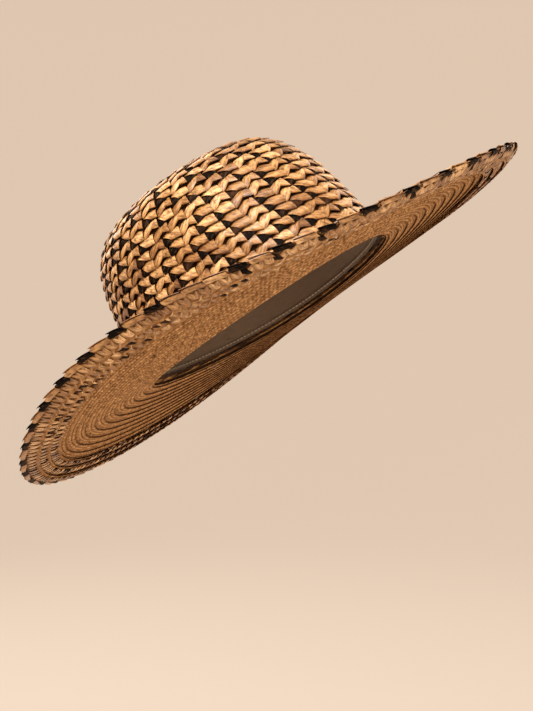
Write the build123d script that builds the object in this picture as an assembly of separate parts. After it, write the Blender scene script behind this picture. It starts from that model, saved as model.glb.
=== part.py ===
from build123d import *
import copy
import os
from math import cos, pi, sin, sqrt

import numpy as np

# Wide-brimmed straw sun hat, sewn row over row from plaited braid.
# Frame: +X is the front of the hat, +Y the wearer's left, +Z up. The hat stands on its brim
# at z = 0, with the origin under the middle of its bounding box. Millimetres throughout.
os.makedirs("parts", exist_ok=True)

# ---------------------------------------------------------------- driving dimensions
# Head opening and crown
HEAD_LENGTH = 200.0      # opening in the brim, front to back (a 57 cm head)
HEAD_WIDTH = 161.0       # opening, side to side
HEAD_X = 2.5             # centre of the opening, ahead of the brim's own centre line
CROWN_HEIGHT = 116.0     # from the head opening to the inside of the crown's top
CROWN_LEAN = -6.4        # how far the top of the crown sits behind its base
CROWN_TILT_BASE = -4.5   # fall of the crown's base towards the front
CROWN_TILT_TOP = -1.2    # fall of the crown's top towards the front
CROWN_SIDE_POWER = 0.33  # lower is a squarer shoulder (0.5 would be a plain ellipse)
CROWN_RISE_POWER = 0.92
HEAD_SADDLE = 2.3        # the opening dips at the sides by this much
CORNER_RUN = 9.0         # the bend from crown to brim takes this much of each

# Brim
BRIM_LENGTH = 442.0
BRIM_WIDTH = 374.0
BRIM_X = -6.0            # centre of the brim's outline
EDGE_LOBE = 1.3          # three-lobed departure of the outline from an ellipse
EDGE_SKEW = -2.4         # diagonal stretch of the outline
EDGE_LIFT = 12.4         # the sides curl up, the front and back droop
EDGE_TWIST = 4.2         # one diagonal of the edge stands higher than the other
EDGE_NOD = -1.5          # the front droops a little more than the back ...
EDGE_NOD_3 = 1.5         # ... and the two shoulders beside it less
EDGE_WAVE = 1.8          # four shallow waves round the edge
EDGE_ROLL = 1.4          # three-fold waviness of the curled sides
BRIM_CURL = 0.6          # share of the rise that comes in the outer part of the brim

# Braid
TOP_THICK = 1.4          # two-tone braid
FACING_THICK = 0.9       # plain braid under the brim
ROW_GAP = 0.35           # clearance between a row and the one that it laps
LAYER_GAP = 0.4          # clearance between the top rows and the facing
LAP = 0.2                # overlap of neighbouring rows, as a share of a row
PUFF = 0.25              # the middle of a row stands this much proud of its edges
CROWN_ROWS = 23          # from the tip to the head opening, the tip coil included
BRIM_ROWS = 13
UNDER_ROWS = 3           # two-tone rows carried round the edge and under the brim
FACING_ROWS = BRIM_ROWS - UNDER_ROWS

# Sweatband
CROWN_EASE = 2.6         # the crown's inner wall stands back this far from the opening
BAND_HEIGHT = 26.0
BAND_THICK = 0.9
BAND_GAP = 0.4           # between the band and the crown's inner wall
BAND_FOOT = 5.5          # the band starts this far above the bend into the brim
TAB_WIDTH = 24.0         # tab that covers the joint in the band, at the back
TAB_THICK = 0.8

RAIL_POINTS = 40         # points on each closed rail
STATIONS = 260           # samples along a meridian

ANGLES = [2 * pi * i / RAIL_POINTS for i in range(RAIL_POINTS)]


# ---------------------------------------------------------------- the hat's base surface
def crown_point(turn, theta):
    """Inner face of the crown; turn runs from 0 at the tip to 1 at the base."""
    a = pi / 2 * (1 - turn ** 3)
    rho = max(cos(a), 0.0) ** CROWN_SIDE_POWER
    tilt = CROWN_TILT_BASE + (CROWN_TILT_TOP - CROWN_TILT_BASE) * sin(a)
    x = HEAD_X + CROWN_LEAN * sin(a) + (HEAD_LENGTH / 2 + CROWN_EASE) * rho * cos(theta)
    y = (HEAD_WIDTH / 2 + CROWN_EASE) * rho * sin(theta)
    z = CROWN_HEIGHT * max(sin(a), 0.0) ** CROWN_RISE_POWER + tilt * rho * cos(theta)
    z += HEAD_SADDLE * cos(2 * theta) * (1 - sin(a)) ** 3
    return np.array([x, y, z])


def edge_point(theta):
    """The brim's outer edge."""
    c, s = cos(theta), sin(theta)
    r = 1 / sqrt((c * 2 / BRIM_LENGTH) ** 2 + (s * 2 / BRIM_WIDTH) ** 2)
    r += EDGE_LOBE * cos(3 * theta) + EDGE_SKEW * sin(2 * theta)
    z = -EDGE_LIFT * cos(2 * theta) + EDGE_TWIST * sin(2 * theta)
    z += EDGE_NOD * c + EDGE_NOD_3 * cos(3 * theta) + EDGE_WAVE * cos(4 * theta)
    z += EDGE_ROLL * sin(3 * theta)
    return np.array([BRIM_X + r * c, r * s, z])


def brim_point(share, theta):
    """The brim's top layer, from its root (0) to its edge (1)."""
    root, edge = crown_point(1.0, theta), edge_point(theta)
    rise = (1 - BRIM_CURL) * share + BRIM_CURL * share ** 3
    plan = root + (edge - root) * share
    return np.array([plan[0], plan[1], root[2] + (edge[2] - root[2]) * rise])


def spaced(points):
    """Running length along a line of points."""
    steps = np.linalg.norm(np.diff(points, axis=0), axis=1)
    return np.concatenate([[0.0], np.cumsum(steps)])


def resample(points, lengths):
    run = spaced(points)
    return np.stack([np.interp(lengths, run, points[:, i]) for i in range(3)], axis=1)


def meridian(theta):
    """One line from the tip of the crown to the brim's edge, in row units.

    Returns evenly spaced points: index 0 is the tip, CROWN_ROWS the middle of the bend
    between crown and brim, and CROWN_ROWS + BRIM_ROWS the edge.
    """
    crown = np.array([crown_point(i / STATIONS, theta) for i in range(STATIONS + 1)])
    brim = np.array([brim_point(i / STATIONS, theta) for i in range(STATIONS + 1)])
    run_c, run_b = spaced(crown), spaced(brim)
    above = resample(crown, np.linspace(0, run_c[-1] - CORNER_RUN, STATIONS))
    below = resample(brim, np.linspace(CORNER_RUN, run_b[-1], STATIONS))
    t = np.linspace(0, 1, 31)[1:-1, None]
    start, knee, end = above[-1], crown[-1], below[0]
    bend = (1 - t) ** 2 * start + 2 * t * (1 - t) * knee + t ** 2 * end
    upper = np.concatenate([above, bend[:15]])
    lower = np.concatenate([bend[14:], below])
    per = STATIONS // 10
    first = resample(upper, np.linspace(0, spaced(upper)[-1], CROWN_ROWS * per + 1))
    second = resample(lower, np.linspace(0, spaced(lower)[-1], BRIM_ROWS * per + 1))
    return np.concatenate([first, second[1:]]), per


def field(angles):
    """Points and outward normals of the base surface along the meridians at `angles`."""
    sliver = 0.02
    base, normal = [], []
    for angle in angles:
        line, per = meridian(angle)
        across = meridian(angle + sliver)[0] - meridian(angle - sliver)[0]
        n = np.cross(np.gradient(line, axis=0), across)
        n /= np.maximum(np.linalg.norm(n, axis=1, keepdims=True), 1e-9)
        # all meridians meet at the tip, so the normal there is taken from the first row
        n[: per // 2] = n[per // 2]
        base.append(line)
        normal.append(n)
    return np.array(base), np.array(normal), per


TOTAL_ROWS = CROWN_ROWS + BRIM_ROWS
ALL_ROUND = field(ANGLES)


def rail_points(row, lift, where=ALL_ROUND):
    """A line of points at a height `lift` above the base surface."""
    base, normal, per = where
    spot = min(max(row, 0.0), TOTAL_ROWS) * per
    low = min(int(spot), base.shape[1] - 2)
    f = spot - low
    at = base[:, low] * (1 - f) + base[:, low + 1] * f
    n = normal[:, low] * (1 - f) + normal[:, low + 1] * f
    return at + n * lift


SPACING = [i / RAIL_POINTS for i in range(RAIL_POINTS + 1)]


def rail(row, lift):
    points = [Vector(*p) for p in rail_points(row, lift)]
    return Edge.make_spline(points, periodic=True, parameters=SPACING)


def closed(faces):
    solid = Solid(Shell(faces))
    return solid if solid.volume > 0 else Solid(Shell([-f for f in faces]))


def ring(corners):
    """Closed ring whose section is the polygon of (row, lift) corners."""
    rails = [rail(row, lift) for row, lift in corners]
    return closed(
        [
            Face.make_surface_from_curves(rails[i], rails[(i + 1) % len(rails)])
            for i in range(len(rails))
        ]
    )


def disc(corners):
    """Closed cap whose section runs through (row, lift) corners, round the tip."""
    rails = [rail(row, lift) for row, lift in corners]
    walls = [Face.make_surface_from_curves(a, b) for a, b in zip(rails, rails[1:])]
    ends = [Face.make_surface([rails[0]]), Face.make_surface([rails[-1]])]
    return closed(walls + ends)


def patch(corners, where):
    """Open strip along the meridians in `where`, with square ends."""
    lines = [[Vector(*p) for p in rail_points(r, h, where)] for r, h in corners]
    rails = [Edge.make_spline(points) for points in lines]
    faces = [
        Face.make_surface_from_curves(rails[i], rails[(i + 1) % 4]) for i in range(4)
    ]
    for end in (0, -1):
        a, b, c, d = (points[end] for points in lines)
        faces.append(
            Face.make_surface_from_curves(Edge.make_line(a, b), Edge.make_line(d, c))
        )
    return closed(faces)


# ---------------------------------------------------------------- sections of the rows
TOP_STEP = TOP_THICK + ROW_GAP         # each row climbs this much to lap the next
FACING_STEP = FACING_THICK + ROW_GAP


def top_section(row, reach):
    """Row `row` of the two-tone braid: its lower edge lies over the row below."""
    mid = reach / 2
    return [
        (row, TOP_THICK),
        (row + mid, TOP_STEP * mid + TOP_THICK + PUFF),
        (row + reach, TOP_STEP * reach + TOP_THICK),
        (row + reach, TOP_STEP * reach),
        (row + mid, TOP_STEP * mid),
        (row, 0.0),
    ]


UNDER_PITCH = (BRIM_ROWS - 0.45) / BRIM_ROWS   # the facing stops short of the bend


def under_section(index, thick, step, reach):
    """Row `index` under the brim, counted from the edge: its inner edge is lowest."""
    row = TOTAL_ROWS - index * UNDER_PITCH
    mid = reach / 2

    def point(along, down):
        return (row - along * UNDER_PITCH, -LAYER_GAP - down)

    return [
        point(0, 0),
        point(mid, step * mid),
        point(reach, step * reach),
        point(reach, step * reach + thick),
        point(mid, step * mid + thick + PUFF),
        point(0, thick),
    ]


nodes = {}

# ---------------------------------------------------------------- crown
TIP_BORE = 0.2           # the tip coil is closed flat inside this share of a row
tip = top_section(0, 1 + LAP)
nodes["tip_coil"] = disc(
    [(TIP_BORE, tip[1][1] - TOP_STEP * 0.2)] + tip[1:5] + [(TIP_BORE, 0.0)]
)
for k in range(1, CROWN_ROWS):
    nodes[f"crown_row_{k:02d}"] = ring(top_section(k, 1 + LAP))

# ---------------------------------------------------------------- brim, top layer
for k in range(BRIM_ROWS):
    reach = 1.0 if k == BRIM_ROWS - 1 else 1 + LAP
    nodes[f"brim_row_{k + 1:02d}"] = ring(top_section(CROWN_ROWS + k, reach))

# ---------------------------------------------------------------- brim, under layer
for k in range(UNDER_ROWS):
    nodes[f"under_row_{k + 1:02d}"] = ring(
        under_section(k, TOP_THICK, TOP_STEP, 1 + LAP)
    )
for k in range(FACING_ROWS):
    reach = 1.0 if k == FACING_ROWS - 1 else 1 + LAP
    nodes[f"facing_row_{k + 1:02d}"] = ring(
        under_section(UNDER_ROWS + k, FACING_THICK, FACING_STEP, reach)
    )

# ---------------------------------------------------------------- sweatband
CROWN_PITCH = spaced(ALL_ROUND[0][RAIL_POINTS // 4])[CROWN_ROWS * ALL_ROUND[2]] / CROWN_ROWS
band_foot = CROWN_ROWS - BAND_FOOT / CROWN_PITCH
band_top = band_foot - BAND_HEIGHT / CROWN_PITCH
band_mid = (band_foot + band_top) / 2
band_face = -BAND_GAP - BAND_THICK
nodes["sweatband"] = ring(
    [
        (band_top, -BAND_GAP),
        (band_mid, -BAND_GAP),
        (band_foot, -BAND_GAP),
        (band_foot, band_face),
        (band_mid, band_face),
        (band_top, band_face),
    ]
)
half = TAB_WIDTH / HEAD_WIDTH
back = field([pi + half * (i / 4 - 1) for i in range(9)])
tab_edge = 2.0 / CROWN_PITCH
tab_face = band_face - ROW_GAP / 2
nodes["sweatband_tab"] = patch(
    [
        (band_top + tab_edge, tab_face),
        (band_foot - tab_edge, tab_face),
        (band_foot - tab_edge, tab_face - TAB_THICK),
        (band_top + tab_edge, tab_face - TAB_THICK),
    ],
    back,
)

# ---------------------------------------------------------------- frame and files
# The whole hat is moved so that it rests on z = 0, centred over the origin.
box = Compound(children=[copy.copy(solid) for solid in nodes.values()]).bounding_box()
to_frame = Location((-box.center().X, -box.center().Y, -box.min.Z))
for name, solid in nodes.items():
    solid = solid.moved(to_frame)
    solid.label = name
    export_step(solid, f"parts/{name}.step")
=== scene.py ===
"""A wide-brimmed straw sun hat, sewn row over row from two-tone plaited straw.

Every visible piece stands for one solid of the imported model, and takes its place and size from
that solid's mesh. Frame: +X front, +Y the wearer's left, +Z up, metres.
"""
import math

import bpy
import numpy as np
from mathutils import Matrix, Vector


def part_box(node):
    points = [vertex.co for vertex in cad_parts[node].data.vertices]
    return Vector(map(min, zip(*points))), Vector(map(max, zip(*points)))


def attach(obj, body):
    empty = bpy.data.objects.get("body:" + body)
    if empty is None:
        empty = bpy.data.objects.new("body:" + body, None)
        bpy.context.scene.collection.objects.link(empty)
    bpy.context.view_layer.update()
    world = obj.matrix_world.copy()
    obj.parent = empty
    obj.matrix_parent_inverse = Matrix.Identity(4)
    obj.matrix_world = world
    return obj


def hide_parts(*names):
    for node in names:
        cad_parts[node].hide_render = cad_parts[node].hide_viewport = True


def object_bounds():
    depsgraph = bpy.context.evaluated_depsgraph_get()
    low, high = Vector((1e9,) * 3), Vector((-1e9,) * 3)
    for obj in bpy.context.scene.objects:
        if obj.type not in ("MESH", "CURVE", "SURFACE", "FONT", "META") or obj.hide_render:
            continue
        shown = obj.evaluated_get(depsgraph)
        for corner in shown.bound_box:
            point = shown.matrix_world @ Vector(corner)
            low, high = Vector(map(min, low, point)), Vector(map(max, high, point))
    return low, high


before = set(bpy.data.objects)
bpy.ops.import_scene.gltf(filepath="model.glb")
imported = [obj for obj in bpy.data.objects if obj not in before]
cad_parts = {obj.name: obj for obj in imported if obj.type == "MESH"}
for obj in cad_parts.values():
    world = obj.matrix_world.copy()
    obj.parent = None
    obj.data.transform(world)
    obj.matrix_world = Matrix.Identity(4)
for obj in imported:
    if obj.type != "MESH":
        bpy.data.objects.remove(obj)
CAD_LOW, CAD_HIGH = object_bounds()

MM = 0.001
RNG = np.random.default_rng(11)


def link(thing):
    bpy.context.scene.collection.objects.link(thing)


# ------------------------------------------------------------------ reading the rows
STATIONS = 240           # places round the hat at which a row's section is read
HARMONICS = 20           # waviness kept when the sections are smoothed
END_ZONE = 0.25          # stretch at each end of a section that is averaged to find the end, mm
LAP = 1.2                # a row's width, in row pitches

band_low, band_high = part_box("sweatband")
AXIS = np.array([(band_low.x + band_high.x) / 2, (band_low.y + band_high.y) / 2, 0])
THETA = np.linspace(0, 2 * math.pi, STATIONS, endpoint=False)


def smooth_round(values):
    """Low-pass filter round the hat."""
    spectrum = np.fft.rfft(values, axis=0)
    spectrum[HARMONICS:] = 0
    return np.fft.irfft(spectrum, n=len(values), axis=0)


def section_ends(flat):
    """Upper end, lower end and half thickness of one flat section, given as (out, up) points."""
    middle = (flat.max(0) + flat.min(0)) / 2
    _, _, axes = np.linalg.svd(flat - flat.mean(0), full_matrices=False)
    along = axes[0] if axes[0] @ np.array([1.0, -1.0]) > 0 else -axes[0]
    for _ in range(2):
        s = (flat - middle) @ along
        upper = flat[s < s.min() + END_ZONE * MM].mean(0)
        lower = flat[s > s.max() - END_ZONE * MM].mean(0)
        along = (lower - upper) / np.linalg.norm(lower - upper)
    depth = (flat - middle) @ np.array([-along[1], along[0]])
    return upper, lower, (depth.max() - depth.min()) / 2


def sections(node):
    """Upper and lower middle rails of a row, and its half thickness."""
    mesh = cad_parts[node].data
    points = np.zeros(len(mesh.vertices) * 3)
    mesh.vertices.foreach_get("co", points)
    points = points.reshape(-1, 3) - AXIS
    edges = np.zeros(len(mesh.edges) * 2, int)
    mesh.edges.foreach_get("vertices", edges)
    a, b = points[edges[0::2]], points[edges[1::2]]
    uppers, lowers, thick = [], [], []
    for theta in THETA:
        out = np.array([math.cos(theta), math.sin(theta), 0])
        side = np.array([-math.sin(theta), math.cos(theta), 0])
        side_a, side_b = a @ side, b @ side
        cut = (side_a * side_b < 0) & ((a + b) @ out > 0)
        t = (side_a[cut] / (side_a[cut] - side_b[cut]))[:, None]
        hit = a[cut] * (1 - t) + b[cut] * t
        upper, lower, half = section_ends(np.stack([hit @ out, hit[:, 2]], axis=1))
        uppers.append(out * upper[0] + np.array([0, 0, upper[1]]))
        lowers.append(out * lower[0] + np.array([0, 0, lower[1]]))
        thick.append(half)
    return (
        smooth_round(np.array(uppers)) + AXIS,
        smooth_round(np.array(lowers)) + AXIS,
        float(np.median(thick)),
    )


def unit(vectors):
    return vectors / np.linalg.norm(vectors, axis=1)[:, None]


class Ribbon:
    """A closed row: place(s, up, lift) maps millimetres along it, row pitches up from its
    free edge and millimetres above its middle surface to a point. Slump lets the free edge
    sink towards the next row, by so many millimetres."""

    def __init__(self, node, underside=False, pitch_share=LAP, slump=0.0):
        upper, lower, self.thick = sections(node)
        self.flip, self.slump, self.lower = underside, slump, lower
        self.pitch = np.linalg.norm(lower - upper, axis=1)[:, None] / pitch_share
        self.down = unit(lower - upper)
        tangent = unit(np.roll(lower, -1, axis=0) - np.roll(lower, 1, axis=0))
        self.normal = unit(np.cross(self.down, tangent))
        if underside:
            self.normal = -self.normal
        middle = (upper + lower) / 2
        step = np.linalg.norm(np.roll(middle, -1, axis=0) - middle, axis=1)
        self.run = np.concatenate([[0], np.cumsum(step)]) / MM
        self.length = float(self.run[-1])
        self.mean_pitch = float(self.pitch.mean()) / MM

    def place(self, s, up, lift):
        spot = np.interp(np.mod(s, self.length), self.run, np.arange(STATIONS + 1))
        low = np.floor(spot).astype(int)
        f = (spot - low)[..., None]
        i, j = low % STATIONS, (low + 1) % STATIONS

        def mix(values):
            return values[i] * (1 - f) + values[j] * f

        sunk = lift - self.slump * (1 - up)
        return (
            mix(self.lower)
            - mix(self.down) * mix(self.pitch) * up[..., None]
            + mix(self.normal) * sunk[..., None] * MM
        )


# ------------------------------------------------------------------ meshes
class Sheaf:
    """Collects grids of points into one mesh, with a tint and a grain place per point."""

    def __init__(self):
        self.points, self.quads, self.slots, self.tint, self.grain = [], [], [], [], []
        self.count = 0

    def grids(self, points, slot, tint, grain, flip=False):
        """points and grain: (n, rows, columns, 3); slot: (n,); tint: (n,) or one per point."""
        if flip:
            points, grain = points[:, :, ::-1], grain[:, :, ::-1]
            tint = tint[:, :, ::-1] if tint.ndim == 3 else tint
        n, rows, columns, _ = points.shape
        index = np.arange(n * rows * columns).reshape(n, rows, columns) + self.count
        corners = [index[:, :-1, :-1], index[:, :-1, 1:], index[:, 1:, 1:], index[:, 1:, :-1]]
        self.quads.append(np.stack(corners, axis=-1).reshape(-1, 4))
        self.slots.append(np.repeat(slot, (rows - 1) * (columns - 1)))
        self.tint.append(np.repeat(tint, rows * columns) if tint.ndim == 1 else tint.ravel())
        self.points.append(points.reshape(-1, 3))
        self.grain.append(grain.reshape(-1, 3))
        self.count += n * rows * columns

    def sheet(self, points, slot, tint, grain, flip=True):
        """One grid; tint is a number or has a value for each point."""
        self.grids(points[None], np.array([slot]), np.asarray(tint)[None], grain[None], flip)

    def build(self, name, materials):
        mesh = bpy.data.meshes.new(name)
        points = np.concatenate(self.points)
        quads = np.concatenate(self.quads)
        mesh.vertices.add(len(points))
        mesh.vertices.foreach_set("co", points.ravel())
        mesh.loops.add(quads.size)
        mesh.loops.foreach_set("vertex_index", quads.ravel())
        mesh.polygons.add(len(quads))
        mesh.polygons.foreach_set("loop_start", np.arange(0, quads.size, 4))
        mesh.polygons.foreach_set("material_index", np.concatenate(self.slots))
        mesh.polygons.foreach_set("use_smooth", np.ones(len(quads), bool))
        tint = mesh.attributes.new("tint", "FLOAT", "POINT")
        tint.data.foreach_set("value", np.concatenate(self.tint))
        grain = mesh.attributes.new("grain", "FLOAT_VECTOR", "POINT")
        grain.data.foreach_set("vector", np.concatenate(self.grain).ravel())
        mesh.update(calc_edges=True)
        mesh.validate()
        for material in materials:
            mesh.materials.append(material)
        piece = bpy.data.objects.new(name, mesh)
        link(piece)
        return piece


def thicken(piece, name, thickness):
    """Give a sheet a thickness in millimetres, on its hidden side."""
    solid = piece.modifiers.new(name, "SOLIDIFY")
    solid.thickness = thickness * MM
    solid.offset = -1


def finish_piece(piece, node):
    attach(piece, "root")
    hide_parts(node)


# ------------------------------------------------------------------ materials
WHITE = (1, 1, 1)


def nodes_of(name):
    material = bpy.data.materials.new(name)
    material.use_nodes = True
    tree = material.node_tree
    return material, tree, tree.nodes["Principled BSDF"]


def attribute(tree, name, output):
    node = tree.nodes.new("ShaderNodeAttribute")
    node.attribute_name = name
    return node.outputs[output]


def ramp(tree, source, stops):
    node = tree.nodes.new("ShaderNodeValToRGB")
    elements = node.color_ramp.elements
    while len(elements) < len(stops):
        elements.new(0.5)
    for element, (place, colour) in zip(elements, stops):
        element.position = place
        element.color = (*colour, 1)
    tree.links.new(source, node.inputs["Fac"])
    return node.outputs["Color"]


def noise(tree, source, scale, detail, stretch):
    mapping = tree.nodes.new("ShaderNodeMapping")
    mapping.inputs["Scale"].default_value = stretch
    tree.links.new(source, mapping.inputs["Vector"])
    node = tree.nodes.new("ShaderNodeTexNoise")
    node.inputs["Scale"].default_value = scale
    node.inputs["Detail"].default_value = detail
    tree.links.new(mapping.outputs["Vector"], node.inputs["Vector"])
    return node.outputs["Fac"]


def combine(tree, operation, *terms):
    """A maths node of numbers and outputs."""
    node = tree.nodes.new("ShaderNodeMath")
    node.operation = operation
    for socket, term in zip(node.inputs, terms):
        if isinstance(term, float):
            socket.default_value = term
        else:
            tree.links.new(term, socket)
    return node.outputs[0]


def mix_colour(tree, kind, factor, a, b):
    node = tree.nodes.new("ShaderNodeMix")
    node.data_type = "RGBA"
    node.blend_type = kind
    for name, value in (("Factor", factor), ("A", a), ("B", b)):
        socket = [s for s in node.inputs if s.name == name and s.enabled][0]
        if isinstance(value, float):
            socket.default_value = value
        elif isinstance(value, tuple):
            socket.default_value = (*value, 1)
        else:
            tree.links.new(value, socket)
    return [s for s in node.outputs if s.enabled][0]


def spread(tree, value, low, high, to_low, to_high):
    node = tree.nodes.new("ShaderNodeMapRange")
    names = ("From Min", "From Max", "To Min", "To Max")
    for name, number in zip(names, (low, high, to_low, to_high)):
        node.inputs[name].default_value = number
    tree.links.new(value, node.inputs["Value"])
    return node.outputs["Result"]


def emboss(tree, shader, height, strength, depth):
    bump = tree.nodes.new("ShaderNodeBump")
    bump.inputs["Strength"].default_value = strength
    bump.inputs["Distance"].default_value = depth * MM
    tree.links.new(height, bump.inputs["Height"])
    tree.links.new(bump.outputs["Normal"], shader.inputs["Normal"])


def straw(name, tones, rough, coat, depth, gloss, blotched=0.7, streak=None):
    """Split straw: long fibres along the strand, blotches and a faint wax. The tint picks
    among the tones, and streak is the colour of bare fibres that show through a dye."""
    material, tree, shader = nodes_of(name)
    grain = attribute(tree, "grain", "Vector")
    tint = attribute(tree, "tint", "Fac")
    fibre = noise(tree, grain, 1.0, 6, (0.20, 0.66, 1.0))
    fine = noise(tree, grain, 1.0, 3, (0.35, 6.0, 1.0))
    blotch = noise(tree, grain, 0.45, 4, (0.6, 1.0, 1.0))
    lines = ramp(tree, fibre, [(0.36, (0.42, 0.32, 0.23)), (0.50, WHITE), (0.64, (1.35, 1.35, 1.32))])
    stain = ramp(tree, blotch, [(0.36, (0.50, 0.38, 0.25)), (0.47, WHITE), (0.75, (1.14, 1.14, 1.10))])
    colour = mix_colour(tree, "MULTIPLY", 0.85, ramp(tree, tint, tones), lines)
    colour = mix_colour(tree, "MULTIPLY", blotched, colour, stain)
    if streak:
        bare = spread(tree, fibre, 0.53, 0.68, 0.0, 0.85)
        colour = mix_colour(tree, "MIX", bare, colour, streak)
    tree.links.new(colour, shader.inputs["Base Color"])
    wear_and_painted_light = spread(tree, fibre, 0.3, 0.75, rough - 0.08, rough + 0.14)
    tree.links.new(wear_and_painted_light, shader.inputs["Roughness"])
    shader.inputs["Coat Weight"].default_value = coat
    shader.inputs["Coat Roughness"].default_value = 0.28
    shader.inputs["Specular IOR Level"].default_value = gloss
    emboss(tree, shader, combine(tree, "MULTIPLY_ADD", fine, 0.5, fibre), 0.8, depth)
    return material


LIGHT = straw(
    "straw_natural",
    [
        (0.0, (0.14, 0.056, 0.017)),
        (0.30, (0.32, 0.148, 0.046)),
        (0.65, (0.46, 0.245, 0.086)),
        (1.0, (0.72, 0.440, 0.210)),
    ],
    rough=0.36, coat=0.14, depth=0.50, gloss=0.5,
)
DARK = straw(
    "straw_dyed",
    [(0.0, (0.0030, 0.0016, 0.0010)), (0.55, (0.0080, 0.0036, 0.0020)), (1.0, (0.045, 0.019, 0.009))],
    rough=0.56, coat=0.0, depth=0.55, gloss=0.06, streak=(0.075, 0.036, 0.018),
)
# a darker copy of the natural straw: painted shade for the plait's reverse and lining, seen in notches
# and gaps
SHADED = straw(
    "straw_painted_shade",
    [(0.0, (0.005, 0.003, 0.002)), (0.35, (0.10, 0.045, 0.017)), (1.0, (0.42, 0.22, 0.085))],
    rough=0.70, coat=0.0, depth=0.3, gloss=0.08,
)
PLAIN = straw(
    "straw_facing",
    [(0.0, (0.085, 0.036, 0.012)), (0.4, (0.365, 0.185, 0.075)), (1.0, (0.68, 0.405, 0.190))],
    rough=0.8, coat=0.0, depth=0.25, gloss=0.04, blotched=0.4,
)
STRAWS = [LIGHT, DARK, SHADED, PLAIN]
NATURAL, DYED, SHADED_SLOT, MATTE = range(4)      # their slots on a two-tone row

# ------------------------------------------------------------------ the facets of the plait
TOOTH = 13.8             # millimetres from one tooth of the zigzag to the next
ROW = 7.6                # millimetres of grain in one row pitch
FACET_ROWS, FACET_COLUMNS = 8, 7
SKIN = 0.45              # thickness of a folded straw, mm
RAISED_PAINTED_LIGHT = 0.75              # painted highlight and shade: how much paler the raised parts of a straw are painted, and the low parts darker
WALL_SHADE = 0.45        # painted shade: how much darker the walls round each facet are painted
NOTCH = (0.55, 0.47)     # where the free edge turns back between two teeth

# Each facet is a grid of places along (teeth) and up (pitches), with its lift (mm) and the
# angle of its fibres. I runs across the facet and J up it.
I = np.linspace(0, 1, FACET_COLUMNS)[None, :, None]
J = np.linspace(0, 1, FACET_ROWS)[:, None, None]
HUMP = 4 * I * (1 - I)
ACROSS, CLIMB = I[..., 0], J[..., 0]
FOOT_DIP = 0.20 * np.clip((0.18 - CLIMB) / 0.18, 0, 1) ** 2
HEAD_DIP = 0.45 * np.clip((CLIMB - 0.75) / 0.25, 0, 1) ** 2


def lerp(a, b, t):
    return np.asarray(a) + (np.asarray(b) - np.asarray(a)) * t


def rise():
    """Band that climbs from a tooth to the top of the row."""
    bottom = lerp((0.0, 0.04), NOTCH, I) + HUMP * np.array([0.02, -0.09]) * (1 - I) * 1.4
    top = lerp((0.0, 0.92), (0.92, 1.14), I) + HUMP * np.array([0, 0.26])
    lift = 0.02 + 0.86 * np.sin(ACROSS * math.pi / 2) ** 1.2
    lift = lift + 0.92 * np.sin(math.pi * CLIMB ** 0.8) * (0.65 + 0.35 * HUMP[..., 0])
    return lerp(bottom, top, J), lift - HEAD_DIP - FOOT_DIP, 0.62


def fold():
    """Small triangle folded over the end of a climbing band."""
    bottom = lerp(NOTCH, (1.0, 0.03), I)
    top = lerp((0.91, 1.15), (1.0, 1.0), I)
    lift = 1.20 + 0.16 * ACROSS + (0.46 - 0.20 * ACROSS) * np.sin(math.pi * CLIMB ** 0.9)
    return lerp(bottom, top, J), lift - FOOT_DIP, -0.75


def tuck():
    """Dyed band that shows beside and under a fall."""
    bottom = lerp((0.0, 0.04), (1.0, 0.46), I) + HUMP * np.array([0, -0.03])
    top = lerp((0.0, 1.0), (1.0, 0.64), I)
    lift = 0.30 * ACROSS + 0.34 * np.sin(math.pi * ACROSS * 2) * (1 - 0.5 * CLIMB)
    lift = lift + 0.30 * np.sin(math.pi * CLIMB)
    return lerp(bottom, top, J), lift - FOOT_DIP, 0.62


def tooth():
    """Strap laid aslant over the edge of the brim."""
    bottom = lerp((0.00, -0.10), (0.92, 0.08), I)
    top = lerp((0.08, 0.28), (1.08, 0.56), I)
    lift = 1.15 - 0.80 * ACROSS + 0.42 * np.sin(math.pi * CLIMB)
    return lerp(bottom, top, J) + HUMP * np.array([0, -0.05]), lift - FOOT_DIP, 0.42


def fall(foot):
    """Broad band that comes down to the next tooth; foot is its lower left corner."""
    left = lerp(foot, (0.03, 1.02), J)
    right = lerp((1.0, 0.03), (1.0, 0.98), J)
    lift = 0.80 + 0.36 * ACROSS + 0.74 * np.sin(math.pi * CLIMB ** 0.8)
    flat = lerp(left, right, I) + HUMP * J ** 2 * np.array([0, 0.26])
    return flat, lift - HEAD_DIP - FOOT_DIP, -0.62


FACETS = {
    "rise": rise(),
    "fold": fold(),
    "tuck": tuck(),
    "tooth": tooth(),
    "fall": fall((0.56, 0.40)),
    "broad fall": fall((0.36, 0.26)),
}


def border(grid):
    """The outline of a grid, once round."""
    return np.concatenate([grid[0, :], grid[1:, -1], grid[-1, -2::-1], grid[-2::-1, 0]])


def skirt(grid, drop=0.0):
    """Wall round a facet: its outline below and above, the lower one less the drop."""
    return np.stack([border(grid) - drop, border(grid)])


def each(values):
    """One value per facet, shaped to multiply grids."""
    return values[:, None, None]


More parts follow.
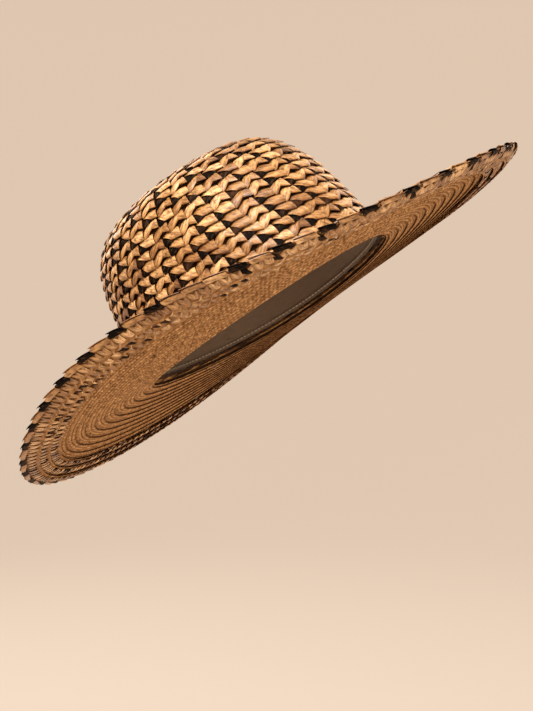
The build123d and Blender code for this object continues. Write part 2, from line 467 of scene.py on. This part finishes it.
def lay(sheaf, ribbon, kind, starts, widths, slot, tint, relief=1.0, depth=1.0, top=1.0, push=0.0):
    """Lay one facet per start. Relief scales heights, depth the zigzag and top the reach up the
    row, and push moves the facets up it."""
    flat, lift, angle = FACETS[kind]
    wide = FACETS["broad fall"][0] if kind == "fall" else flat
    jitter = RNG.normal(0, 1, (len(starts), 4))
    blend = RNG.random(len(starts))[:, None, None, None]
    offset = RNG.random((len(starts), 3)) * 400
    # painted highlight and shade: each face is painted paler where it stands high and darker where
    # low, its walls darker (painted shade)
    relative = (lift - lift.mean()) / (np.ptp(lift) + 0.3)
    walls = skirt(lift, SKIN)
    parts = (
        (flat, wide, lift, relative),
        (skirt(flat), skirt(wide), walls, np.full(walls.shape, -WALL_SHADE)),
    )
    c, q = math.cos(angle), math.sin(angle)
    for narrow, broad, level, wear_and_painted_light in parts:
        shape = (len(starts),) + level.shape
        place = narrow[None] * (1 - blend) + broad[None] * blend
        along = place[..., 0] * np.ones(shape)
        up = place[..., 1] * np.ones(shape)
        if depth != 1.0:
            # shallower notches: the free edge is pulled towards a straight line
            low = np.clip(1 - up / 0.9, 0, 1)
            up = up - (1 - depth) * low * np.interp(along, [0, NOTCH[0], 1], [0, NOTCH[1], 0])
        up = up * top * each(1 + 0.03 * jitter[:, 0]) + push
        height = level[None] * relief + 0.10 * each(jitter[:, 1]) * relief
        height = height + 0.12 * each(jitter[:, 2]) * (along - 0.5) * relief
        points = ribbon.place(each(starts) + along * each(widths), up, height)
        x, y = along * TOOTH, up * ROW
        grain = np.stack([x * c + y * q, -x * q + y * c, 0 * x], axis=-1) + offset[:, None, None, :]
        offset = grain[:, 0, 0, :]
        # the straw's tint plus the painted highlight and shade
        shown = np.clip(each(tint) + (RAISED_PAINTED_LIGHT * wear_and_painted_light)[None], 0, 1) * np.ones(shape)
        sheaf.grids(points, slot, shown, grain, ribbon.flip)


# ------------------------------------------------------------------ behind the facets
def backing(sheaf, ribbon, slot, low, high, dark, lift=-0.35):
    """The plait's reverse: slanted strands, seen through the notches and from inside the hat.
    Dark is the share of strands drawn dark: dyed straw, and painted shade in the notches."""
    strands = max(10, int(round(ribbon.length / (TOOTH / 2))))
    width = ribbon.length / strands
    i, j = np.meshgrid(np.linspace(0, 1, 5), np.linspace(0, 1, 6))
    middle = (low + high) / 2
    bands = ((low, middle + 0.04, 0.75), (middle - 0.04, high, -0.75))
    for band, (bottom, top, slant) in enumerate(bands):
        start = np.arange(strands) * width + band * width / 2 + RNG.normal(0, 0.5, strands)
        s = each(start) + (i + slant * (j - 0.5)) * width * 1.06
        up = bottom + (top - bottom) * j + 0 * s
        bow = 0.22 * np.sin(math.pi * i) + 0.10 * np.sin(math.pi * j)
        tilt = each(RNG.normal(0, 0.05, strands))
        points = ribbon.place(s, up, lift - bow + 0.16 * (i - 0.5) + tilt)
        y = up * ROW
        grain = np.stack([s * 0.7 * slant + y, y * 0.7 * slant - s, 0 * s], axis=-1)
        grain = grain + RNG.random((strands, 1, 1, 3)) * 300
        is_dark = RNG.random(strands) < dark
        deep, pale = RNG.uniform(0.05, 0.25, strands), RNG.uniform(0.45, 1.0, strands)
        tint = np.where(is_dark, deep, pale)
        sheaf.grids(points, np.full(strands, slot), tint, grain, ribbon.flip)


def lining(sheaf, ribbon, slot, low, high, lift, drop=0.0, tint=0.12):
    """A closed strip behind the strands, tinted dark as painted shade where it shows through gaps;
    drop carries its free edge down onto the next row.
    """
    columns = int(ribbon.length / 3) + 2
    s, v = np.meshgrid(np.linspace(0, ribbon.length, columns), np.linspace(0, 1, 10))
    height = lift - drop * np.clip(1 - v / 0.15, 0, 1)
    points = ribbon.place(s, low + (high - low) * v, height)
    grain = np.stack([s * 0.7, v * 7, 0 * s], axis=-1)
    sheaf.sheet(points, slot, tint, grain, ribbon.flip)


# ------------------------------------------------------------------ two-tone rows
def pattern_of(length):
    """Widths of the teeth of a row, as shares of its length, and which of them are dyed."""
    teeth = 2 * max(2, int(round(length / (2 * TOOTH))))
    widths = 1 + RNG.normal(0, 0.06, teeth)
    dyed = np.arange(teeth) % 2 == 0
    # now and then the dyed straw skips a turn or shows on the next tooth
    skip = RNG.random(teeth) < 0.05
    dyed[skip] = ~dyed[skip]
    return widths / widths.sum(), dyed


class Plait:
    """A row of two-tone braid, laid facet by facet over its teeth."""

    def __init__(
        self, node, phase, underside=False, pitch_share=LAP, slump=0.9, push=0.0, pattern=None
    ):
        self.node, self.push = node, push
        self.ribbon = Ribbon(node, underside, pitch_share, slump)
        shares, self.dyed = pattern or pattern_of(self.ribbon.length)
        self.widths = shares * self.ribbon.length
        self.starts = np.concatenate([[0], np.cumsum(self.widths)[:-1]]) + phase * TOOTH
        self.tone = np.clip(RNG.normal(0.60, 0.20, len(shares)), 0, 1)
        self.shade = np.clip(RNG.gamma(1.3, 0.22, len(shares)), 0, 1)
        self.sheaf = Sheaf()

    def put(self, kind, which, slot, tint, stretch=1.0, **how):
        if which.any():
            begin = self.starts[which] + self.widths[which] * (1 - stretch) / 2
            lay(self.sheaf, self.ribbon, kind, begin, self.widths[which] * stretch,
                np.full(which.sum(), slot), tint[which], push=self.push, **how)

    def darker(self, step):
        return np.clip(self.tone - step, 0, 1)

    def varied(self, shift):
        """The tone of each straw, once more a little off."""
        return np.clip(self.tone + RNG.normal(shift, 0.12, len(self.tone)), 0, 1)

    def halve(self, dyed_share):
        """Under the brim the straws are short, two for each tooth, and only some are dyed."""
        self.starts = np.stack([self.starts, self.starts + self.widths / 2], 1).ravel()
        self.widths = np.repeat(self.widths / 2, 2)
        self.dyed = np.repeat(self.dyed, 2) & (RNG.random(len(self.starts)) < dyed_share)
        self.tone = np.repeat(self.tone, 2)
        self.tone = self.varied(0)
        self.shade = np.repeat(self.shade, 2)

    def finish(self):
        piece = self.sheaf.build("plait_" + self.node, STRAWS)
        finish_piece(piece, self.node)


def top_row(node, phase, low=0.42, high=1.5, reach_low=0.02, reach_high=0.02, dark=0.35, top=1.0):
    """A row of the crown or the brim's upper side. Its reverse runs from low to high (pitches),
    and its lining so much further each way."""
    row = Plait(node, phase)
    row.put("rise", ~row.dyed, NATURAL, row.tone, top=top)
    # the folds are painted a little darker than the rises: painted shade
    row.put("fold", ~row.dyed, NATURAL, row.varied(-0.12), top=top)
    row.put("tuck", row.dyed, DYED, row.shade, top=top)
    row.put("fall", row.dyed, NATURAL, row.varied(0.03), top=top)
    # reverse and lining in the shaded straw, the lining at a low tint: painted shade
    backing(row.sheaf, row.ribbon, SHADED_SLOT, low, high, dark)
    lining(row.sheaf, row.ribbon, SHADED_SLOT, low - reach_low, high + reach_high, -0.22)
    row.finish()


def edge_row(node, phase, **how):
    """The outermost row on either side of the brim: straps over its edge, short straws behind."""
    row = Plait(node, phase, pattern=EDGE, **how)
    row.put("tooth", ~row.dyed, NATURAL, row.tone, stretch=1.08)
    row.put("tooth", row.dyed, DYED, row.shade, stretch=0.82)
    row.push += 0.34
    row.halve(0.15)
    small = {"relief": 0.6, "depth": 0.7, "top": 0.68}
    row.put("rise", ~row.dyed, NATURAL, row.darker(0.05), **small)
    row.put("rise", row.dyed, DYED, row.shade, **small)
    row.put("fold", row.dyed | ~row.dyed, NATURAL, row.darker(0.1), **small)
    backing(row.sheaf, row.ribbon, NATURAL, 0.26, 1.4, 0.15)
    lining(row.sheaf, row.ribbon, MATTE, 0.16, 1.4, -0.45, drop=0.6, tint=0.36)
    row.finish()


def under_row(node, phase):
    """A two-tone row under the brim, next to the edge."""
    row = Plait(node, phase, underside=True)
    row.halve(0.40)
    small = {"relief": 0.9, "top": 0.95}
    row.put("rise", ~row.dyed, NATURAL, row.tone, **small)
    row.put("rise", row.dyed, DYED, row.shade, **small)
    row.put("fold", row.dyed | ~row.dyed, NATURAL, row.varied(0), **small)
    backing(row.sheaf, row.ribbon, NATURAL, 0.08, 1.4, 0.12)
    lining(row.sheaf, row.ribbon, MATTE, 0.02, 1.45, -0.45, drop=1.3, tint=0.36)
    row.finish()


# ------------------------------------------------------------------ plain rows
STITCH = 3.2             # length of one stitch of the fine braid, mm
SUB_ROWS = 3             # lines of stitches in a row of fine braid
LINE_LEVELS = 6          # steps of the mesh up one line of stitches
COLUMN = 0.8             # one step of the mesh along the row, mm
INNERMOST = "facing_row_10"


def plain(node, phase):
    """Fine single-colour braid under the brim: lines of slanted stitches, lapped row on row."""
    last = node == INNERMOST
    ribbon = Ribbon(node, underside=True, pitch_share=1.0 if last else LAP, slump=0.3)
    s, v = np.meshgrid(
        np.linspace(0, ribbon.length, int(ribbon.length / COLUMN) + 1),
        np.linspace(0, 1, SUB_ROWS * LINE_LEVELS + 1),
    )
    line = np.minimum((v * SUB_ROWS).astype(int), SUB_ROWS - 1)
    within = v * SUB_ROWS - line
    slant = np.where(line % 2 == 0, 1.0, -1.0)
    count = max(8, int(round(ribbon.length / STITCH)))
    place = s / ribbon.length * count + slant * within * 0.75 + phase + line * 0.3
    wobble = RNG.normal(0, 0.10, (SUB_ROWS, count + 8))
    stitch = np.floor(place).astype(int) % count
    place = place + wobble[line, stitch]
    rounded = np.sin(math.pi * np.clip(within, 0.02, 0.98)) ** 0.5
    swell = np.abs(np.sin(math.pi * place)) ** 0.6 * rounded
    up = v * (1.04 if last else 1.16) + 0.035 * np.sin(2 * math.pi * place) * (1 - v)
    free_edge = np.clip(v / 0.06, 0, 1) ** 0.5
    tone = np.clip(RNG.normal(0.60, 0.10, (SUB_ROWS, count)), 0, 1)
    # raised stitches painted paler and the grooves between lines of stitches darker: painted highlight
    # and painted shade
    tint = tone[line, stitch] + 0.55 * (swell - 0.75) - 0.3 * (np.abs(within - 0.5) > 0.36)
    # painted shade where the next row laps it, a painted highlight along its own free edge
    tint = np.clip(tint - 0.28 * np.clip((v - 0.82) / 0.1, 0, 1) + 0.18 * (v < 0.12), 0, 1)
    c, q = np.cos(slant * 0.7), np.sin(slant * 0.7)
    y = v * 7.5
    grain = np.stack([s * c + y * q, -s * q + y * c, line * 9.0], axis=-1)
    sheaf = Sheaf()
    sheaf.sheet(ribbon.place(s, up, -0.45 + 0.62 * swell + 0.45 * free_edge), 0, tint, grain)
    lining(sheaf, ribbon, 0, 0.0, 1.22 if last else 1.45, -0.7, drop=1.6, tint=0.35)
    piece = sheaf.build("plait_" + node, [PLAIN])
    thicken(piece, "skin", 0.5)
    finish_piece(piece, node)


# ------------------------------------------------------------------ cloth
def cloth(name, low_tone, high_tone, threads):
    """Plain woven cloth: over-and-under threads, faint slubs and a soft sheen."""
    material, tree, shader = nodes_of(name)
    grain = attribute(tree, "grain", "Vector")
    tint = attribute(tree, "tint", "Fac")
    waves = []
    for axis in ("X", "Y"):
        wave = tree.nodes.new("ShaderNodeTexWave")
        wave.bands_direction = axis
        wave.inputs["Scale"].default_value = threads
        wave.inputs["Distortion"].default_value = 0.6
        wave.inputs["Detail"].default_value = 1.0
        tree.links.new(grain, wave.inputs["Vector"])
        waves.append(wave.outputs["Fac"])
    weave = combine(tree, "MULTIPLY", *waves)
    slub = noise(tree, grain, 0.35, 4, (0.4, 2.0, 1.0))
    base = ramp(tree, tint, [(0.0, low_tone), (1.0, high_tone)])
    shadow = ramp(tree, weave, [(0.0, (0.62, 0.60, 0.58)), (0.6, WHITE)])
    uneven = ramp(tree, slub, [(0.3, (0.82, 0.80, 0.77)), (0.7, (1.06, 1.05, 1.03))])
    colour = mix_colour(tree, "MULTIPLY", 0.8, base, shadow)
    colour = mix_colour(tree, "MULTIPLY", 0.9, colour, uneven)
    tree.links.new(colour, shader.inputs["Base Color"])
    tree.links.new(spread(tree, slub, 0.3, 0.7, 0.74, 0.92), shader.inputs["Roughness"])
    shader.inputs["Sheen Weight"].default_value = 0.25
    shader.inputs["Sheen Roughness"].default_value = 0.5
    shader.inputs["Specular IOR Level"].default_value = 0.3
    emboss(tree, shader, weave, 0.7, 0.15)
    return material


BAND = cloth("band_cloth", (0.16, 0.10, 0.06), (0.36, 0.25, 0.16), threads=1.6)
TAB = cloth("tab_cloth", (0.45, 0.38, 0.30), (0.66, 0.58, 0.48), threads=1.4)
THREAD = cloth("sewing_thread", (0.40, 0.30, 0.20), (0.55, 0.44, 0.32), threads=3.0)
CLOTH_THICK = 0.5        # mm
HEM = 3.0                # depth of the turned edges, mm
STITCH_GAP = 3.4         # from one sewing stitch to the next, mm
SEAM = 0.75              # where the seam runs, in hem depths from the edge
BAND_LIFT = 0.35         # how far the band stands off its middle surface, mm


def hemmed(v, height):
    """Extra thickness where an edge is turned over: a soft step along both long edges."""
    edge = np.minimum(v, 1 - v) * height
    step = 1 / (1 + np.exp((edge - HEM) * 4))
    return 0.35 * step - 0.5 * np.clip(1 - edge / 0.7, 0, 1) ** 2


def stitches(sheaf, place, runs, slot, radius=0.22):
    """Short raised threads; each run is (start, end) in the local (s, v) of place."""
    u = np.linspace(0, 1, 6)
    ring = np.linspace(0, 2 * math.pi, 7)[:, None]
    arch = 0.28 * np.sin(math.pi * u)
    for a, b in runs:
        s, v = a[0] + (b[0] - a[0]) * u, a[1] + (b[1] - a[1]) * u
        core = place(s, v, 0.15 + arch)
        out = (place(s, v, 1.15 + arch) - core) / MM
        side = np.cross(unit(np.gradient(core, axis=0)), out)
        spoke = out[None] * np.sin(ring)[..., None] + side[None] * np.cos(ring)[..., None]
        grain = np.stack([u * 3 + 0 * ring, ring + 0 * u, 0 * ring * u], axis=-1)
        sheaf.sheet(core[None] + radius * MM * spoke, slot, 0.5, grain)


def sweatband():
    """Cloth band inside the opening, slightly puckered, hemmed and sewn along both edges."""
    ribbon = Ribbon("sweatband", pitch_share=1.0)
    height = ribbon.mean_pitch
    puckers = RNG.uniform(0, 2 * math.pi, 12)

    def place(s, v, lift):
        turn = 2 * math.pi * s / ribbon.length
        wave = sum(np.sin(turn * (9 + 5 * k) + p) for k, p in enumerate(puckers)) * 0.05
        return ribbon.place(s, v * 1.12 - 0.12, -lift - wave * np.sin(math.pi * v))

    columns = int(ribbon.length / 2.0)
    s, v = np.meshgrid(np.linspace(0, ribbon.length, columns + 1), np.linspace(0, 1, 27))
    tint = 0.5 + 0.12 * np.sin(2 * math.pi * s / ribbon.length * 3 + 1) - 0.25 * (1 - v)
    grain = np.stack([s, v * height, 0 * s], axis=-1)
    sheaf = Sheaf()
    sheaf.sheet(place(s, v, BAND_LIFT + hemmed(v, height)), 0, tint, grain)
    count = int(ribbon.length / STITCH_GAP)
    step = ribbon.length / count
    runs = []
    for level in (HEM * SEAM / height, 1 - HEM * SEAM / height):
        for k in range(count):
            a = k * step + RNG.normal(0, 0.1)
            runs.append(((a, level), (a + step * 0.66, level)))
    stitches(sheaf, lambda s, v, h: place(s, v, h + BAND_LIFT + 0.25), runs, 1)
    piece = sheaf.build("band_in_crown", [BAND, THREAD])
    thicken(piece, "cloth", CLOTH_THICK)
    finish_piece(piece, "sweatband")
    return ribbon


def tab_runs(width, tall):
    """Stitches just inside the edge of the tab, along and up from its middle bottom, mm."""
    inset, length = 1.6, 2.1
    side, low, high = width / 2 - inset, inset, tall - inset
    runs = []
    for k in range(int(2 * side / STITCH_GAP)):
        x = -side + 0.8 + k * STITCH_GAP
        runs += [((x, low), (x + length, low)), ((x, high), (x + length, high))]
    for k in range(int((high - low) / STITCH_GAP)):
        y = low + 0.8 + k * STITCH_GAP
        runs += [((-side, y), (-side, y + length)), ((side, y), (side, y + length))]
    return runs


def back_tab(ribbon):
    """Blank cloth patch with rounded corners, stitched round its edge to the band."""
    low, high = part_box("sweatband_tab")
    outward = np.array([low.x, (low.y + high.y) / 2])
    middle = np.argmin(np.linalg.norm(ribbon.lower[:, :2] - outward, axis=1))
    centre = ribbon.run[middle]
    width = (high.y - low.y) / MM
    bottom, top = ((z - ribbon.lower[middle, 2]) / MM / ribbon.mean_pitch for z in (low.z, high.z))
    tall = (top - bottom) * ribbon.mean_pitch
    reach = ribbon.thick / MM + 1.3

    def place(s, v, lift):
        return ribbon.place(centre + s, bottom + v / ribbon.mean_pitch, -(lift + reach))

    a, b = np.meshgrid(np.linspace(-1, 1, 41), np.linspace(-1, 1, 33))
    # a square grid drawn in to a rounded rectangle
    corner = np.clip(np.abs(a) + np.abs(b) - 1.0, 0, 1) ** 3
    s = a * width / 2 * (1 - 0.10 * corner * np.abs(b))
    v = tall / 2 + b * tall / 2 * (1 - 0.10 * corner * np.abs(a))
    rim = np.minimum(1 - np.abs(a), (1 - np.abs(b)) * tall / width) * width / 2
    lift = 0.25 - 0.5 * np.clip(1 - rim / 0.8, 0, 1) ** 2 + 0.22 / (1 + np.exp((rim - 2.2) * 4))
    lift = lift + 0.12 * np.sin(a * 2.2 + b) * np.clip(rim / 4, 0, 1)
    grain = np.stack([s, v, 0 * s], axis=-1)
    sheaf = Sheaf()
    sheaf.sheet(place(s, v, lift), 0, 0.6 + 0.1 * np.sin(a * 3 + b * 2), grain)
    stitches(sheaf, lambda s, v, h: place(s, v, h + 0.3), tab_runs(width, tall), 1)
    piece = sheaf.build("patch_at_back", [TAB, THREAD])
    thicken(piece, "cloth", CLOTH_THICK)
    finish_piece(piece, "sweatband_tab")


# ------------------------------------------------------------------ tip
def tip():
    """The plait's start: a tight flat coil at the top of the crown."""
    low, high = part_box("tip_coil")
    centre = ((low.x + high.x) / 2, (low.y + high.y) / 2)
    radius = min(high.x - low.x, high.y - low.y) / 2 / MM
    first = Ribbon("crown_row_01", slump=0.9)
    level = float((first.lower - first.down * first.pitch)[:, 2].mean())
    rise_to_top = (high.z - level) / MM
    spread_out = 1.12        # the coil laps the first row by so much

    def around(angle, r, height):
        """Millimetres from the middle of the coil and above the first row's upper edge."""
        x = centre[0] + r * np.cos(angle) * MM
        y = centre[1] + r * np.sin(angle) * MM
        return np.stack([x, y, level + height * MM], axis=-1)

    sheaf = Sheaf()
    turns, per_turn = 2.6, 9
    total = int(turns * per_turn)
    for k in range(total):
        share = k / total
        width = 2 * math.pi / per_turn * (1.0 + 0.25 * share)
        outer = radius * (spread_out - 0.95 * share)
        inner = max(outer - radius * 0.46, 0.0)
        angle = 2 * math.pi * turns * share + (ACROSS + 0.55 * (CLIMB - 0.5)) * width
        r = outer + (inner - outer) * CLIMB - 0.25 * np.sin(math.pi * ACROSS)
        dome = rise_to_top * (1 - (r / radius / spread_out) ** 2)
        lift = dome - 0.35 + 0.45 * ACROSS - 0.15 * CLIMB + 0.35 * np.sin(math.pi * CLIMB)
        grain = np.stack([angle * 6, r, 0 * angle], axis=-1) + RNG.random(3) * 300
        dyed = k % 4 == 1
        tint = RNG.uniform(0, 0.4) if dyed else RNG.uniform(0.4, 0.9)
        sheaf.sheet(around(angle, r, lift), int(dyed), tint, grain, flip=False)
    # a disc under the coil closes the gaps between its straws; its dark tint is painted shade
    turn, out = np.meshgrid(np.linspace(0, 2 * math.pi, 37), np.linspace(0.02, 1.35, 8))
    dome = rise_to_top * (1 - (out / spread_out) ** 2)
    grain = np.stack([turn * 5, out * 12, 0 * out], axis=-1)
    sheaf.sheet(around(turn, out * radius, dome - 1.3), 0, 0.2, grain)
    piece = sheaf.build("coil_at_tip", [LIGHT, DARK])
    thicken(piece, "skin", 0.6)
    finish_piece(piece, "tip_coil")


# ------------------------------------------------------------------ all the pieces
RIM = "brim_row_13"      # outermost row, on top of the brim
RIM_UNDER = "under_row_01"
BRIM_START = "brim_row_01"
CROWN_END = "crown_row_22"

tip()
back_tab(sweatband())
EDGE = pattern_of(Ribbon(RIM).length)       # shared, so that both sides of the rim agree
phase = 0.0
for node in sorted(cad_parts):
    if node.startswith(("crown_row", "brim_row")):
        phase += 0.42 + RNG.normal(0, 0.10)
        if node == RIM:
            edge_row(node, 0.0, pitch_share=1.0, slump=1.7, push=-0.06)
        elif node == BRIM_START:
            top_row(node, phase, high=1.36, reach_high=0.45, top=0.95)
        elif node == CROWN_END:
            top_row(node, phase, low=-0.15, reach_low=0.35, dark=0.1)
        else:
            top_row(node, phase)
    elif node.startswith("under_row"):
        phase += 0.5
        if node == RIM_UNDER:
            edge_row(node, 0.05, underside=True, slump=1.3, push=-0.10)
        else:
            under_row(node, phase)
    elif node.startswith("facing_row"):
        phase += 0.37
        plain(node, phase)

# ------------------------------------------------------------------ camera
# The hat is worn tipped back and to one side, so the camera is rolled against the hat's own axis.
AZIMUTH, ELEVATION, ROLL = (math.radians(a) for a in (-66.660, -6.674, -33.570))
AIM_OFFSET = Vector((-0.01177, -0.00411, -0.07689))
DISTANCE = 0.754376
SENSOR = 36.0            # height of the picture on the sensor, mm
LENS = 50.632911         # focal length, mm

CENTRE = (CAD_LOW + CAD_HIGH) / 2
level_reach = math.cos(ELEVATION)
toward = Vector(
    (math.cos(AZIMUTH) * level_reach, math.sin(AZIMUTH) * level_reach, math.sin(ELEVATION))
)
turn = toward.to_track_quat("Z", "Y").to_matrix() @ Matrix.Rotation(ROLL, 3, "Z")
camera = bpy.data.objects.new("camera", bpy.data.cameras.new("camera"))
spot = CENTRE + AIM_OFFSET + toward * DISTANCE
camera.matrix_world = Matrix.Translation(spot) @ turn.to_4x4()
camera.data.sensor_fit = "VERTICAL"
camera.data.sensor_height = SENSOR
camera.data.lens = LENS
camera.data.clip_start = 0.01
link(camera)
bpy.context.scene.camera = camera
RIGHT, UP, BACK = (turn @ Vector(axis) for axis in ((1, 0, 0), (0, 1, 0), (0, 0, 1)))

# ------------------------------------------------------------------ stage and light
FLOOR_DROP = 0.70        # metres below the hat's middle


def facing(direction):
    """Turn whose Z axis points in a direction."""
    return direction.to_track_quat("Z", "Y").to_matrix().to_4x4()


def backdrop():
    """A pale floor that curves up into a wall all round. It glows slightly, like lit paper."""
    material, tree, shader = nodes_of("paper")
    shader.inputs["Base Color"].default_value = (0.30, 0.265, 0.235, 1)
    shader.inputs["Emission Color"].default_value = (1.0, 0.80, 0.63, 1)
    shader.inputs["Emission Strength"].default_value = 0.49
    shader.inputs["Roughness"].default_value = 0.9
    shader.inputs["Specular IOR Level"].default_value = 0.1
    flat, cove, tall, turns = 2.6, 2.0, 4.5, 96
    profile = [(flat * k / 12, 0.0) for k in range(13)]
    profile += [
        (flat + cove * math.sin(a), cove * (1 - math.cos(a)))
        for a in np.linspace(0, math.pi / 2, 16)[1:]
    ]
    profile += [(flat + cove, cove + tall)]
    points, faces = [(0.0, 0.0, 0.0)], []
    for k in range(turns):
        a = 2 * math.pi * k / turns
        points += [(r * math.cos(a), r * math.sin(a), z) for r, z in profile[1:]]
    m = len(profile) - 1
    for k in range(turns):
        a, b = 1 + k * m, 1 + (k + 1) % turns * m
        faces.append((0, a, b))
        faces += [(a + j, a + j + 1, b + j + 1, b + j) for j in range(m - 1)]
    mesh = bpy.data.meshes.new("floor")
    mesh.from_pydata(points, [], faces)
    for polygon in mesh.polygons:
        polygon.use_smooth = True
    mesh.materials.append(material)
    floor = bpy.data.objects.new("floor", mesh)
    floor.matrix_world = Matrix.Translation(CENTRE - UP * FLOOR_DROP) @ facing(UP)
    link(floor)


def softbox(name, place, size, power, colour):
    """An area light at place (metres right, up and toward the viewer from the hat)."""
    light = bpy.data.lights.new(name, "AREA")
    light.shape = "RECTANGLE"
    light.size, light.size_y = size
    light.energy = power
    light.color = colour
    offset = RIGHT * place[0] + UP * place[1] + BACK * place[2]
    lamp = bpy.data.objects.new(name, light)
    lamp.matrix_world = Matrix.Translation(CENTRE + offset) @ facing(offset)
    link(lamp)


backdrop()
softbox("key", (-0.60, 1.45, 1.1), (0.42, 0.42), 47, (1.0, 0.90, 0.78))
softbox("fill", (1.2, 0.3, 1.4), (1.4, 1.4), 12, (1.0, 0.90, 0.80))
softbox("rim", (0.9, 1.2, -1.2), (0.9, 0.9), 6, (1.0, 0.92, 0.84))
softbox("back", (-1.0, 0.9, -1.4), (1.2, 1.2), 14, (1.0, 0.92, 0.84))

world = bpy.data.worlds.new("room")
world.use_nodes = True
sky = world.node_tree.nodes["Background"]
sky.inputs["Color"].default_value = (1.0, 0.90, 0.81, 1)
sky.inputs["Strength"].default_value = 0.55
bpy.context.scene.world = world
bpy.context.scene.view_settings.view_transform = "Standard"
